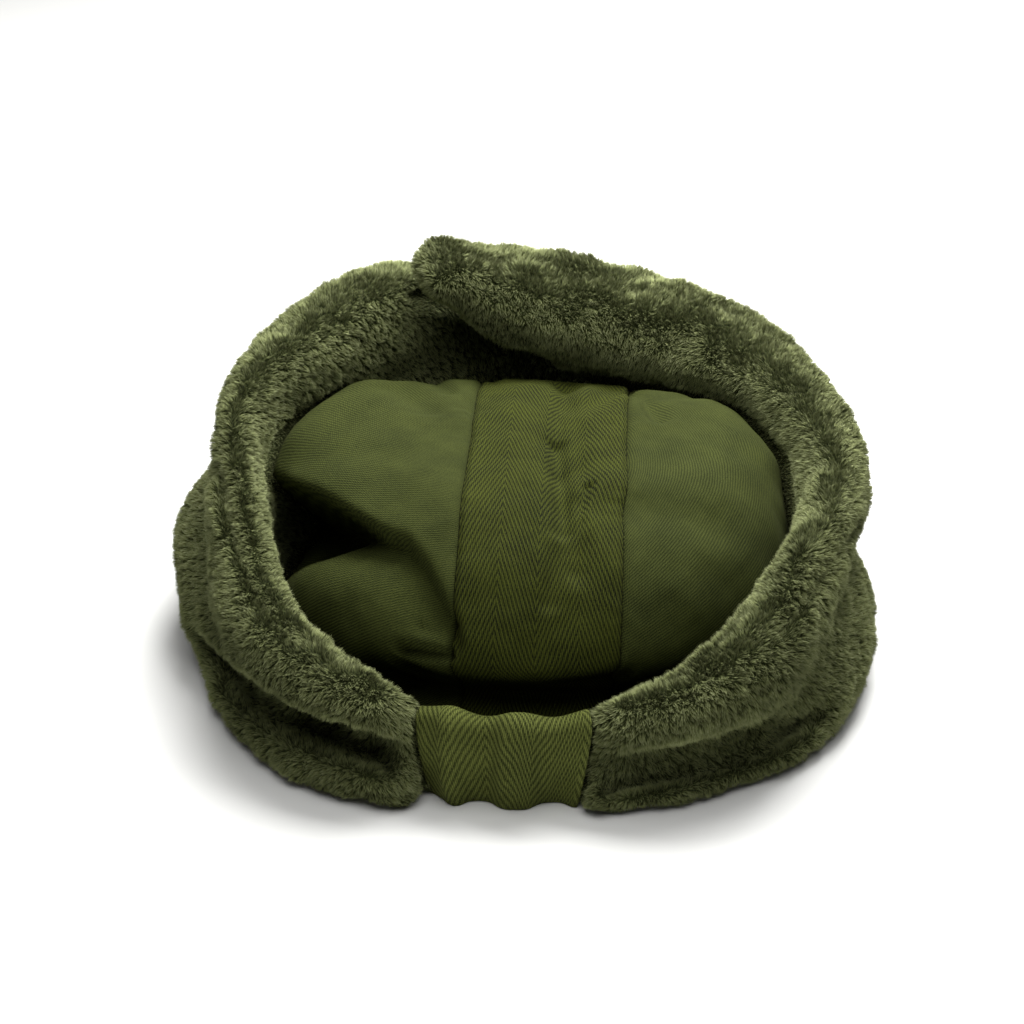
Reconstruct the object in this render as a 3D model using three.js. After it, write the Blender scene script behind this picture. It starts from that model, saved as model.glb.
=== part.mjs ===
// Winter field cap with its fur flaps folded up, as it rests on a table.
// A soft cloth crown of three panels stands inside two deep-pile flaps. The flaps start at either
// side of an elastic back tab, rise round the sides, and overlap at the front.
// Millimetres. +Z is up, +Y is the front of the cap, +X is the wearer's right. An azimuth is
// measured from the middle of the back, positive towards +X, and an offset is measured outwards
// from the hem of the crown.
import * as THREE from "three";

// Driving dimensions
const HEM_HALF_WIDTH = 86;
const HEM_HALF_LENGTH = 95;
const CROWN_HEIGHT = 80;
const CROWN_SQUARENESS = 3;
const CROWN_SIDE_SQUARENESS = 3;
const CROWN_BULGE = 0.04;
const CROWN_SIDE_BULGE = 0.05;
const STRIP_WIDTH = 57;
const STRIP_OFFSET = 6.5;
const STRIP_SKEW = 4;
const SEAM_STATIONS = 36;
const LEFT_PANEL_ROWS = 19;
const RIGHT_PANEL_ROWS = 9;
const CLOTH = 2.4;
const GAP = 0.3;
const FLAP_SEAT = 0.5;
const BACK_TAB_HALF_ANGLE = 16;
const BACK_TAB_TAPER = 0.16;

// Folds of the slumped crown: each runs between two directions seen from the middle of the hem.
const CROWN_FOLDS = [
  { fold: "left crease", azimuth: [-76, -32], elevation: [37, 42], depth: 9, width: 12 },
  { fold: "left pocket", azimuth: [-92, -62], elevation: [27, 36], depth: 23, width: 12 },
  { fold: "seam crease", azimuth: [-32, -11], elevation: [42, 22], depth: 7, width: 10 },
  { fold: "back tuck", azimuth: [-16, 32], elevation: [16, 15], depth: 13, width: 10 },
  { fold: "strip groove", azimuth: [163, 17], elevation: [64, 44], depth: 4, width: 6 },
  { fold: "front left scallop", azimuth: [-140, -160], elevation: [66, 50], depth: 2, width: 7 },
  { fold: "front right scallop", azimuth: [148, 156], elevation: [68, 48], depth: 2.5, width: 7 },
];

// Where the slumped cloth is pushed out against a flap, given in the same way.
const CROWN_SWELLS = [
  { swell: "left shoulder", azimuth: [-102, -126], elevation: [35, 38], height: 8.5, width: 16 },
  { swell: "right shoulder", azimuth: [107, 130], elevation: [36, 40], height: 4.5, width: 14 },
];

// Sections of the flaps by azimuth. bottom and top are heights, seat and inner are offsets of the
// inner face at its foot and near its top, thick is the rolled top edge and peak the share of it at
// which the roll is highest, groove is the crease below it, and lobe and foot are how far the skirt
// stands out.
const RIGHT_FLAP = [
  { at: 16.2, bottom: 0, top: 37, seat: 0.5, inner: 4, thick: 15, peak: 0.45, grooveZ: 15, groove: 5, lobe: 25, lobeZ: 6, foot: 21 },
  { at: 28, bottom: 0, top: 42, seat: 0.5, inner: 5, thick: 24, peak: 0.45, grooveZ: 18, groove: 12, lobe: 29, lobeZ: 7, foot: 25 },
  { at: 40, bottom: 0, top: 49, seat: 0.5, inner: 5, thick: 29, peak: 0.45, grooveZ: 17, groove: 11, lobe: 34, lobeZ: 7, foot: 30 },
  { at: 52, bottom: 0, top: 58, seat: 0.5, inner: 6, thick: 29, peak: 0.45, grooveZ: 18, groove: 6, lobe: 40, lobeZ: 9, foot: 35 },
  { at: 64, bottom: 0, top: 66, seat: 0.5, inner: 7, thick: 25, peak: 0.45, grooveZ: 32, groove: 0, lobe: 41, lobeZ: 12, foot: 36 },
  { at: 78, bottom: 0, top: 73, seat: 0.5, inner: 9, thick: 23, peak: 0.48, grooveZ: 42, groove: 6, lobe: 41, lobeZ: 18, foot: 35 },
  { at: 95, bottom: 0, top: 77, seat: 2, inner: 9.5, thick: 26, peak: 0.56, grooveZ: 42, groove: 8, lobe: 39, lobeZ: 20, foot: 33 },
  { at: 120, bottom: 0, top: 85, seat: 2, inner: 5, thick: 31, peak: 0.66, grooveZ: 42, groove: 6, lobe: 35, lobeZ: 20, foot: 30 },
  { at: 145, bottom: 0, top: 94, seat: 0.5, inner: -7, thick: 41, peak: 0.75, grooveZ: 46, groove: 4, lobe: 31, lobeZ: 20, foot: 26 },
  { at: 165, bottom: 48, top: 101, seat: -10, inner: -18, thick: 39, peak: 0.78, grooveZ: 76, groove: 0, lobe: 18, lobeZ: 62, foot: 8 },
  { at: 180, bottom: 74, top: 106, seat: -17, inner: -22, thick: 39, peak: 0.79, grooveZ: 94, groove: 0, lobe: 16, lobeZ: 86, foot: -2 },
  { at: 194, bottom: 80, top: 109, seat: -14, inner: -17, thick: 34, peak: 0.77, grooveZ: 101, groove: 0, lobe: 16, lobeZ: 94, foot: 2 },
  { at: 212, bottom: 94, top: 108, seat: -6, inner: -6, thick: 22, peak: 0.68, grooveZ: 102, groove: 0, lobe: 16, lobeZ: 99, foot: 9 },
];
const LEFT_FLAP = [
  { at: 16.2, bottom: 0, top: 37, seat: 0.5, inner: 4, thick: 16, peak: 0.45, grooveZ: 17, groove: 5, lobe: 28, lobeZ: 6, foot: 24 },
  { at: 28, bottom: 0, top: 43, seat: 0.5, inner: 5, thick: 25, peak: 0.45, grooveZ: 21, groove: 12, lobe: 34, lobeZ: 8, foot: 31 },
  { at: 40, bottom: 0, top: 48, seat: 0.5, inner: 5, thick: 29, peak: 0.45, grooveZ: 21, groove: 13, lobe: 37, lobeZ: 9, foot: 34 },
  { at: 52, bottom: 0, top: 54, seat: 0.5, inner: 6, thick: 29, peak: 0.45, grooveZ: 20, groove: 11, lobe: 37, lobeZ: 9, foot: 34 },
  { at: 64, bottom: 0, top: 61, seat: 0.5, inner: 6, thick: 25, peak: 0.45, grooveZ: 28, groove: 1, lobe: 37, lobeZ: 14, foot: 32 },
  { at: 78, bottom: 0, top: 74, seat: 2, inner: 8, thick: 22, peak: 0.48, grooveZ: 48, groove: 4, lobe: 41, lobeZ: 28, foot: 33 },
  { at: 92, bottom: 0, top: 86, seat: 5, inner: 12, thick: 18, peak: 0.5, grooveZ: 60, groove: 5, lobe: 45, lobeZ: 38, foot: 34 },
  { at: 108, bottom: 0, top: 93, seat: 8, inner: 12, thick: 22, peak: 0.57, grooveZ: 62, groove: 5, lobe: 44, lobeZ: 40, foot: 34 },
  { at: 125, bottom: 0, top: 98, seat: 4, inner: 8, thick: 28, peak: 0.63, grooveZ: 60, groove: 4, lobe: 40, lobeZ: 34, foot: 32 },
  { at: 145, bottom: 0, top: 102, seat: 2, inner: 9, thick: 30, peak: 0.66, grooveZ: 54, groove: 3, lobe: 37, lobeZ: 26, foot: 33 },
  { at: 165, bottom: 0, top: 100, seat: 6, inner: 21, thick: 18, peak: 0.56, grooveZ: 50, groove: 2, lobe: 38, lobeZ: 24, foot: 34 },
  { at: 180, bottom: 3, top: 96, seat: 8, inner: 23, thick: 16, peak: 0.5, grooveZ: 50, groove: 0, lobe: 37, lobeZ: 26, foot: 32 },
  { at: 191, bottom: 10, top: 92, seat: 8, inner: 23, thick: 14, peak: 0.5, grooveZ: 50, groove: 0, lobe: 36, lobeZ: 30, foot: 31 },
];
const FLAP_STATIONS = 66;
const SECTION_POINTS = 17;
const FLAP_START_ROUNDING = 5;
const FLAP_END_ROUNDING = 14;
const LOCK_RELIEF = 1.1;

// The back tab is one cloth folded over at its top, drawn up in waves by its elastic.
const TAB_TOP = 35;
const TAB_DEPTH = 16;
const TAB_WAVE = 2.2;
const TAB_WAVES = 2.4;

const radians = THREE.MathUtils.degToRad;
const degrees = THREE.MathUtils.radToDeg;

const cloth = new THREE.MeshStandardMaterial({ color: 0x5d643b, roughness: 0.92, metalness: 0 });
cloth.name = "twill";
const tape = new THREE.MeshStandardMaterial({ color: 0x595f32, roughness: 0.9, metalness: 0 });
tape.name = "herringbone";
const pile = new THREE.MeshStandardMaterial({ color: 0x5b6140, roughness: 1, metalness: 0 });
pile.name = "pile";

// Distance from the middle of the cap to the hem of the crown.
function hemRadius(azimuth) {
  const across = Math.sin(radians(azimuth)) / HEM_HALF_WIDTH;
  const along = Math.cos(radians(azimuth)) / HEM_HALF_LENGTH;
  return 1 / Math.hypot(across, along);
}

// How far out the crown stands at a height, before it is creased.
function crownReach(azimuth, z) {
  const share = Math.min(1, Math.max(0, z / CROWN_HEIGHT));
  const bulge = CROWN_BULGE + CROWN_SIDE_BULGE * Math.sin(radians(azimuth)) ** 2;
  const square = CROWN_SQUARENESS + CROWN_SIDE_SQUARENESS * Math.sin(radians(azimuth)) ** 2;
  const round = (1 - share ** square) ** (1 / square);
  return hemRadius(azimuth) * (1 + bulge * Math.sin(Math.PI * share ** 0.8)) * round;
}

function aimed(azimuth, elevation) {
  const a = radians(azimuth);
  const e = radians(elevation);
  return new THREE.Vector3(Math.sin(a) * Math.cos(e), -Math.cos(a) * Math.cos(e), Math.sin(e));
}

// A fold or a swell as a line to measure from, with how far it moves the cloth at that line.
function lineOf({ azimuth, elevation, depth, height, width }) {
  const [start, end] = [0, 1].map((k) => aimed(azimuth[k], elevation[k]));
  return { line: new THREE.Line3(start, end), amount: depth ?? height, width };
}

const foldLines = CROWN_FOLDS.map(lineOf);
const swellLines = CROWN_SWELLS.map(lineOf);

// Distance from the middle of the hem to the outside of the crown in one direction.
function crownRadius(direction) {
  const flat = Math.hypot(direction.x, direction.y);
  const azimuth = degrees(Math.atan2(direction.x, -direction.y));
  let [near, far] = [0, 2 * HEM_HALF_LENGTH];
  while (far - near > 0.001) {
    const reach = (near + far) / 2;
    if (reach * flat < crownReach(azimuth, reach * direction.z)) near = reach;
    else far = reach;
  }
  const nearest = new THREE.Vector3();
  const [crease, swell] = [foldLines, swellLines].map((lines) =>
    lines.reduce((most, { line, amount, width }) => {
      line.closestPointToPoint(direction, true, nearest);
      const away = (nearest.normalize().distanceTo(direction) * near) / width;
      return Math.max(most, amount * Math.exp(-away * away));
    }, 0),
  );
  return near + THREE.MathUtils.smoothstep(direction.z, 0.02, 0.14) * (swell - crease);
}

// A direction given by how far it is turned over the cap, from the back hem to the front hem, and
// by how far it leans to one side.
function overTop(turn, lean) {
  return new THREE.Vector3(
    Math.sin(lean),
    -Math.cos(lean) * Math.cos(turn),
    Math.cos(lean) * Math.sin(turn),
  );
}

// The lean at which the crown is at a given distance from the plane through its middle.
function leanAt(turn, x) {
  let [left, right] = [-1.2, 1.2];
  while (right - left > 1e-6) {
    const lean = (left + right) / 2;
    if (crownRadius(overTop(turn, lean)) * Math.sin(lean) < x) left = lean;
    else right = lean;
  }
  return left;
}

// Where the middle of the tape runs: the slumped crown has drawn it towards one side.
function stripMiddle(turn) {
  return STRIP_OFFSET + STRIP_SKEW * Math.cos(turn);
}

// The turns at which the tape and both panels have their points, so that the seams run side by
// side.
const seamTurns = Array.from({ length: SEAM_STATIONS }, (_, i) =>
  radians(2.5 + (175 * i) / (SEAM_STATIONS - 1)),
);

// A closed geometry from points and triangles, with its faces turned outwards.
function solid(points, index) {
  const volume = index.reduce((sum, _, k) => {
    if (k % 3) return sum;
    const [a, b, c] = [0, 1, 2].map((step) => points[index[k + step]]);
    return sum + a.dot(new THREE.Vector3().crossVectors(b, c));
  }, 0);
  if (volume < 0) index.reverse();
  const geometry = new THREE.BufferGeometry().setFromPoints(points);
  geometry.setIndex(index);
  geometry.computeVertexNormals();
  return geometry;
}

// Joins two grids of the same size, given as rows of points, into a closed wall.
function wallBetween(outer, inner) {
  const rows = outer.length;
  const columns = outer[0].length;
  const points = [...outer.flat(), ...inner.flat()];
  const index = [];
  const under = rows * columns;
  const quad = (a, b, c, d) => index.push(a, b, c, a, c, d);
  for (let i = 0; i < rows - 1; i += 1) {
    for (let j = 0; j < columns - 1; j += 1) {
      const a = i * columns + j;
      quad(a, a + 1, a + columns + 1, a + columns);
      quad(under + a, under + a + columns, under + a + columns + 1, under + a + 1);
    }
  }
  for (let j = 0; j < columns - 1; j += 1) {
    const last = (rows - 1) * columns + j;
    quad(j, under + j, under + j + 1, j + 1);
    quad(last, last + 1, under + last + 1, under + last);
  }
  for (let i = 0; i < rows - 1; i += 1) {
    const left = i * columns;
    const right = left + columns - 1;
    quad(left, left + columns, under + left + columns, under + left);
    quad(right, under + right, under + right + columns, right + columns);
  }
  return solid(points, index);
}

// Joins closed sections, each a ring of points, into a solid closed by a fan at either end.
function loft(sections) {
  const ring = sections[0].length;
  const points = sections.flat();
  const index = [];
  for (let i = 0; i < sections.length - 1; i += 1) {
    for (let j = 0; j < ring; j += 1) {
      const a = i * ring + j;
      const b = i * ring + ((j + 1) % ring);
      index.push(a, b, b + ring, a, b + ring, a + ring);
    }
  }
  const ends = [0, sections.length - 1].map((row) => {
    const middle = new THREE.Vector3();
    sections[row].forEach((p) => middle.addScaledVector(p, 1 / ring));
    points.push(middle);
    return { middle: points.length - 1, start: row * ring };
  });
  for (let j = 0; j < ring; j += 1) {
    const next = (j + 1) % ring;
    index.push(ends[0].middle, ends[0].start + next, ends[0].start + j);
    index.push(ends[1].middle, ends[1].start + j, ends[1].start + next);
  }
  return solid(points, index);
}

function named(name, geometry, material) {
  const mesh = new THREE.Mesh(geometry, material);
  mesh.name = name;
  return mesh;
}

// The tape that runs over the crown from the back hem to the front hem.
function crownStrip() {
  const across = 8;
  const half = (STRIP_WIDTH - GAP) / 2;
  const grid = (inset) =>
    [0, ...seamTurns, Math.PI].map((turn) => {
      const [left, right] = [-half, half].map((x) => leanAt(turn, stripMiddle(turn) + x));
      return Array.from({ length: across + 1 }, (_unused, j) => {
        const direction = overTop(turn, left + ((right - left) * j) / across);
        return direction.clone().multiplyScalar(crownRadius(direction) - inset);
      });
    });
  return wallBetween(grid(0), grid(CLOTH));
}

// One side of the crown, in rows from points spaced along the hem up to the tape's seam. The
// creased left side has the finer rows.
function crownPanel(side) {
  const rows = side < 0 ? LEFT_PANEL_ROWS : RIGHT_PANEL_ROWS;
  const half = (STRIP_WIDTH + GAP) / 2;
  const seamAt = (turn) => overTop(turn, leanAt(turn, stripMiddle(turn) + side * half));
  const [back, front] = [0, Math.PI].map((turn) => {
    const corner = seamAt(turn);
    return degrees(Math.atan2(corner.x, -corner.y));
  });
  const grid = (inset) =>
    seamTurns.map((turn, i) => {
      const hem = aimed(back + ((front - back) * i) / (seamTurns.length - 1), 0);
      const seam = seamAt(turn);
      return Array.from({ length: rows + 1 }, (_, j) => {
        const direction = hem.clone().lerp(seam, j / rows).normalize();
        return direction.multiplyScalar(crownRadius(direction) - inset);
      });
    });
  return wallBetween(grid(0), grid(CLOTH));
}

// The value of one column of a table at an azimuth, on a smooth curve through its rows.
function valueAt(table, column, azimuth) {
  const k = Math.max(1, table.findIndex((row) => row.at >= azimuth - 1e-6));
  const row = (n) => table[THREE.MathUtils.clamp(n, 0, table.length - 1)];
  const [before, from, to, after] = [row(k - 2), row(k - 1), row(k), row(k + 1)];
  const span = to.at - from.at;
  const t = (azimuth - from.at) / span;
  const start = ((to[column] - before[column]) / (to.at - before.at)) * span;
  const end = ((after[column] - from[column]) / (after.at - from.at)) * span;
  return (
    from[column] * (2 * t ** 3 - 3 * t ** 2 + 1) +
    start * (t ** 3 - 2 * t ** 2 + t) +
    to[column] * (3 * t ** 2 - 2 * t ** 3) +
    end * (t ** 3 - t ** 2)
  );
}

// The offset at which a piece just clears the crown at a height.
function clearOfCrown(azimuth, z) {
  return crownReach(azimuth, z) - hemRadius(azimuth) + FLAP_SEAT;
}

// The outline of a flap across its length, as offsets and heights: a flat foot, an inner face that
// follows the crown, a rolled top edge, a crease and a skirt.
function flapOutline(row, azimuth) {
  const height = row.top - row.bottom;
  const outside = row.inner + row.thick;
  const crest = row.peak * row.thick;
  const rollHeight = Math.max(0.2 * height, Math.min(0.6 * height, 0.55 * crest + 4));
  const innerFace = [0.1, 0.38, 0.7, 1].map((share) => {
    const z = row.bottom + share * (height - rollHeight);
    const lean = row.seat + share ** 2 * (row.inner - row.seat);
    return [Math.max(lean, clearOfCrown(azimuth, z) + 1), z];
  });
  const curve = new THREE.CatmullRomCurve3(
    [
      ...innerFace,
      [row.inner + 0.27 * crest, row.top - 0.27 * rollHeight],
      [row.inner + crest, row.top],
      [row.inner + (0.5 + 0.5 * row.peak + 0.13) * row.thick, row.bottom + 0.93 * height],
      [outside, 0.5 * (row.bottom + 0.93 * height + row.grooveZ)],
      [outside - row.groove, row.grooveZ],
      [row.lobe, row.lobeZ],
      [row.foot + 0.6 * (row.lobe - row.foot), row.bottom + 0.35 * (row.lobeZ - row.bottom)],
    ].map(([offset, z]) => new THREE.Vector3(offset, z, 0)),
    false,
    "centripetal",
  );
  return [
    new THREE.Vector3(row.foot, row.bottom, 0),
    new THREE.Vector3(Math.max(row.seat, clearOfCrown(azimuth, row.bottom)), row.bottom, 0),
    ...curve.getSpacedPoints(SECTION_POINTS - 1),
  ];
}

// How much nearer the middle of the back the tab's seams are at a height than at its top.
function seamTaper(z) {
  return 1 - BACK_TAB_TAPER * (1 - THREE.MathUtils.clamp(z / TAB_TOP, 0, 1));
}

// A flap, lofted round the cap. Its pile stands in shallow locks.
function earFlap(side, table) {
  const first = table[0].at;
  const last = table.at(-1).at;
  const columns = Object.keys(table[0]).filter((column) => column !== "at");
  const sections = Array.from({ length: FLAP_STATIONS + 1 }, (_, i) => {
    const azimuth = first + ((last - first) * i) / FLAP_STATIONS;
    const row = Object.fromEntries(columns.map((column) => [column, valueAt(table, column, azimuth)]));
    row.bottom = row.bottom < 0.5 ? 0 : row.bottom;
    const radius = hemRadius(azimuth);
    const fromStart = (radians(azimuth - first) * radius) / FLAP_START_ROUNDING;
    const fromEnd = (radians(last - azimuth) * radius) / FLAP_END_ROUNDING;
    const rounded = (share) => Math.sqrt(1 - (1 - Math.min(1, share)) ** 2);
    const shrink = (0.82 + 0.18 * rounded(fromStart)) * (0.45 + 0.55 * rounded(fromEnd));
    const middle = { offset: row.inner + 0.5 * row.thick, z: 0.5 * (row.bottom + row.top) };
    return flapOutline(row, azimuth).map((p, j) => {
      const lock = 0.6 * Math.cos(2.1 * i + 1.3 * j) + 0.4 * Math.cos(3.7 * i - 2.2 * j + 1);
      const relief = j > 2 && p.y > 4 ? LOCK_RELIEF * lock : 0;
      const outer = p.x > middle.offset;
      const offset = outer
        ? middle.offset + (p.x - middle.offset) * shrink + relief
        : p.x + 0.5 * Math.max(0, relief);
      const z = p.y > middle.z ? middle.z + (p.y - middle.z) * shrink + 0.6 * relief : p.y;
      const near = 1 - THREE.MathUtils.smoothstep(azimuth, first, first + 22);
      const a = radians(azimuth - first * (1 - seamTaper(z)) * near);
      return new THREE.Vector3(
        side * (radius + offset) * Math.sin(a),
        -(radius + offset) * Math.cos(a),
        z,
      );
    });
  });
  return loft(sections);
}

// The back tab: a cloth wall that rises from the hem, folds over and comes down outside.
function backTab() {
  const steps = 20;
  const bends = 8;
  const sections = Array.from({ length: steps + 1 }, (_, i) => {
    const share = (2 * i) / steps - 1;
    const azimuth = BACK_TAB_HALF_ANGLE * share;
    const wave = Math.cos(Math.PI * TAB_WAVES * (share + 0.62));
    const depth = TAB_DEPTH + TAB_WAVE * wave;
    const top = TAB_TOP - 2 + 1.6 * wave;
    const radius = hemRadius(azimuth);
    const at = (offset, z) => {
      const a = radians(azimuth * seamTaper(z));
      return new THREE.Vector3((radius + offset) * Math.sin(a), -(radius + offset) * Math.cos(a), z);
    };
    const shoulder = top - depth / 2;
    const start = clearOfCrown(azimuth, shoulder) + 0.6;
    const half = (depth - start) / 2;
    const middle = start + half;
    const arch = (inset) =>
      Array.from({ length: bends + 1 }, (_unused, j) => {
        const turn = (Math.PI * j) / bends;
        return at(middle - (half - inset) * Math.cos(turn), top - half + (half - inset) * Math.sin(turn));
      });
    const leg = (inset) =>
      [0, 0.3, 0.65].map((rise) => {
        const z = rise * shoulder;
        return at(clearOfCrown(azimuth, z) + 0.4 + inset, z);
      });
    const outer = [...leg(0), ...arch(0), at(depth + 1, 10), at(depth - 2, 0)];
    const inner = [...leg(CLOTH), ...arch(CLOTH), at(depth + 1 - CLOTH, 10), at(depth - 2 - CLOTH, 0)];
    return [...outer, ...inner.reverse()];
  });
  return loft(sections);
}

const cap = new THREE.Group();
cap.add(
  named("crown_strip", crownStrip(), tape),
  named("crown_panel_left", crownPanel(-1), cloth),
  named("crown_panel_right", crownPanel(1), cloth),
  named("ear_flap_left", earFlap(-1, LEFT_FLAP), pile),
  named("ear_flap_right", earFlap(1, RIGHT_FLAP), pile),
  named("back_tab", backTab(), tape),
);

// The origin is on the table under the middle of the cap.
const box = new THREE.Box3().setFromObject(cap);
const middle = box.getCenter(new THREE.Vector3());
cap.position.set(-middle.x, -middle.y, -box.min.z);

export default cap;
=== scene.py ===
import math

import bpy
import numpy as np
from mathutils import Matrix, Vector
from mathutils.bvhtree import BVHTree


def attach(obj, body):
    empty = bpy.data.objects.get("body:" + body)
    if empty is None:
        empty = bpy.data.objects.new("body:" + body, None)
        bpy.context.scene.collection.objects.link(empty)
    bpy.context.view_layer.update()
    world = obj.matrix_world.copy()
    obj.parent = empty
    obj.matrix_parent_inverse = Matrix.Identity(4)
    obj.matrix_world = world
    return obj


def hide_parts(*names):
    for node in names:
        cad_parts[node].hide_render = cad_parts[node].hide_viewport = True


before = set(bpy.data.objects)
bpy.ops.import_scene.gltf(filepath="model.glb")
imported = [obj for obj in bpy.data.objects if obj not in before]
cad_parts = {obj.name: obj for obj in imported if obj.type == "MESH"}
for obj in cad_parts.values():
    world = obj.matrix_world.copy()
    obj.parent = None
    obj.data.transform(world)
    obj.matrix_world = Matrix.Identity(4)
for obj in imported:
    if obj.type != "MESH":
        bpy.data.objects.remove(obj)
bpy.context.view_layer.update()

# Camera: it looks at the back of the cap from above and a little to the right, far enough away
# that the cap is drawn almost without perspective.
view_turn, view_height, view_distance = math.radians(5.5), math.radians(30), 1.0
looked_at = Vector((-0.00392, -0.0083, 0.0507))
towards_camera = Vector((
    math.sin(view_turn) * math.cos(view_height),
    -math.cos(view_turn) * math.cos(view_height),
    math.sin(view_height),
))
camera = bpy.data.objects.new("camera", bpy.data.cameras.new("camera"))
camera.data.sensor_width = 36
camera.data.lens = 97.7
camera.data.clip_start, camera.data.clip_end = 0.01, 100
camera.location = looked_at + view_distance * towards_camera
camera.rotation_euler = towards_camera.to_track_quat("Z", "Y").to_euler()
bpy.context.scene.collection.objects.link(camera)
bpy.context.scene.camera = camera

# Crown strip: a broad herringbone tape of cotton, worn soft, that runs over the crown from the
# back hem to the front hem. It is sewn between the two side panels, and its edges turn down into
# the seams. Lengths are in millimetres, and a point of the crown is given by a direction from the
# middle of the hem.
hem_half_width, hem_half_length, crown_height = 86.0, 95.0, 80.0
crown_squareness, side_squareness = 3, 3
crown_bulge, side_bulge, bulge_low = 0.04, 0.05, 0.8
crown_place = np.array([2.62, -8.34, 0.0])
strip_width, strip_offset, strip_skew = 57.0, 6.5, 4.0
seam_gap, cloth_thickness = 0.3, 1.6
seam_depth, seam_width, seam_allowance, off_seam = 1.5, 1.3, 3.5, 0.01
pucker_depth, pucker_spacing = 0.36, 5.2
broad_wrinkle, fine_wrinkle = 0.42, 0.16
strip_stations, strip_columns, edge_crowding = 190, 53, 0.48
first_turn, last_turn, widest_lean, halvings = 1.2, 178.8, 1.2, 22
tape_colour = "#444a18"
tape_shadow_colour = "#0a0d04"

# Azimuths, elevations, depth and width of each fold that the slumped crown has, and then of its
# shoulders, where the cloth is pushed out against the flaps. No fold reaches the hem itself.
hem_held, hem_free = 0.02, 0.14
crown_folds = [
    ((-76, -32), (37, 42), 9, 12),
    ((-92, -62), (27, 36), 23, 12),
    ((-32, -11), (42, 22), 7, 10),
    ((-16, 32), (16, 15), 13, 10),
    ((163, 17), (64, 44), 4, 6),
    ((-140, -160), (66, 50), 2, 7),
    ((148, 156), (68, 48), 2.5, 7),
]
crown_shoulders = [
    ((-102, -126), (35, 38), 8.5, 16),
    ((107, 130), (36, 40), 4.5, 14),
]

# The lip of the left side's deep fold, from the flap to the seam. The cloth above it drops over a
# sharp edge, and rises again slowly below. Columns: azimuth, elevation, depth, width above, below.
fold_lip = [
    (-110, 16, 14, 4, 10),
    (-97, 24.5, 32, 3, 19),
    (-83.5, 33, 38, 3, 20),
    (-74.7, 37.4, 37, 2.8, 19),
    (-64.7, 41, 32, 2.6, 17),
    (-52, 43, 19, 2.8, 14),
    (-41.5, 43.4, 11, 3.0, 13),
    (-32.3, 44, 8, 3.2, 13),
    (-24.2, 41, 7, 3.2, 12),
    (-17.5, 36, 7, 2.8, 10),
    (-12.6, 32.5, 7.5, 2.2, 8),
    (-10.5, 28.5, 4, 2, 5),
]

# Smaller folds on those: the pleats that gather under the lip's end, the dip along the tape, the
# tuck over the back hem and small dents of worn cloth.
fine_folds = [
    ((-20, -12), (31, 30), 4.5, 2.2),
    ((-23, -12), (25.5, 26.6), 6, 2.4),
    ((-22, -12), (20.5, 23), 5.5, 2.4),
    ((-40, -20), (37, 33), 2.2, 5),
    ((172, 120), (50, 82), 4, 5),
    ((120, 40), (82, 76), 6.5, 4.6),
    ((40, 18), (76, 54), 7, 4.6),
    ((40, 25), (66, 58), 4.5, 2.4),
    ((22, 10), (56, 38), 4.2, 5.5),
    ((12, 6), (42, 26), 2.4, 8),
    ((-28, 38), (15, 13.5), 24, 9.5),
    ((-23, -9), (20.5, 19), 17, 5),
    ((8, 25), (20, 20.5), 17, 5),
    ((150, 118), (48, 57), 3.4, 3.4),
    ((-62, -30), (12, 13), 9, 9),
    ((44, 75), (12, 13), 8, 9),
    ((-146, -140), (40, 56), 2.2, 4),
    ((-163, -161), (40, 56), 1.6, 3.4),
    ((152, 150), (42, 60), 2.6, 3.6),
    ((134, 136), (40, 54), 1.8, 5),
    ((35, 60), (55, 44), 2.0, 12),
    ((-120, -128), (60, 48), 2.2, 6),
]
# Where the slumped cloth is pushed out between the folds, with the height and width of each swell.
crown_swells = [
    ((-50, -30), (62, 58), 2.0, 14),
    ((60, 70), (58, 52), 2.0, 14),
]


def hem_radius(azimuth):
    return 1 / np.hypot(np.sin(azimuth) / hem_half_width, np.cos(azimuth) / hem_half_length)


def crown_reach(azimuth, height):
    share = np.clip(height / crown_height, 0, 1)
    side = np.sin(azimuth) ** 2
    square = crown_squareness + side_squareness * side
    bulge = 1 + (crown_bulge + side_bulge * side) * np.sin(np.pi * share**bulge_low)
    return hem_radius(azimuth) * bulge * (1 - share**square) ** (1 / square)


def aimed(azimuth, elevation):
    a, e = np.radians(azimuth), np.radians(elevation)
    return np.stack([np.sin(a) * np.cos(e), -np.cos(a) * np.cos(e), np.sin(e) + 0 * a], -1)


def smooth_step(x, start, end):
    t = np.clip((x - start) / (end - start), 0, 1)
    return t * t * (3 - 2 * t)


def unit(v):
    return v / np.linalg.norm(v, axis=-1, keepdims=True)


def fold_depth(direction, reach, folds, together=np.maximum):
    """How deep the folds are in each direction, where the cloth stands at that reach."""
    deepest = np.zeros(reach.shape)
    for azimuths, elevations, depth, width in folds:
        start, end = (aimed(a, e) for a, e in zip(azimuths, elevations))
        along = np.clip((direction - start) @ (end - start) / ((end - start) @ (end - start)), 0, 1)
        nearest = unit(start + along[..., None] * (end - start))
        away = np.linalg.norm(nearest - direction, axis=-1) * reach / width
        deepest = together(deepest, depth * np.exp(-away * away))
    return deepest * smooth_step(direction[..., 2], hem_held, hem_free)


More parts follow.
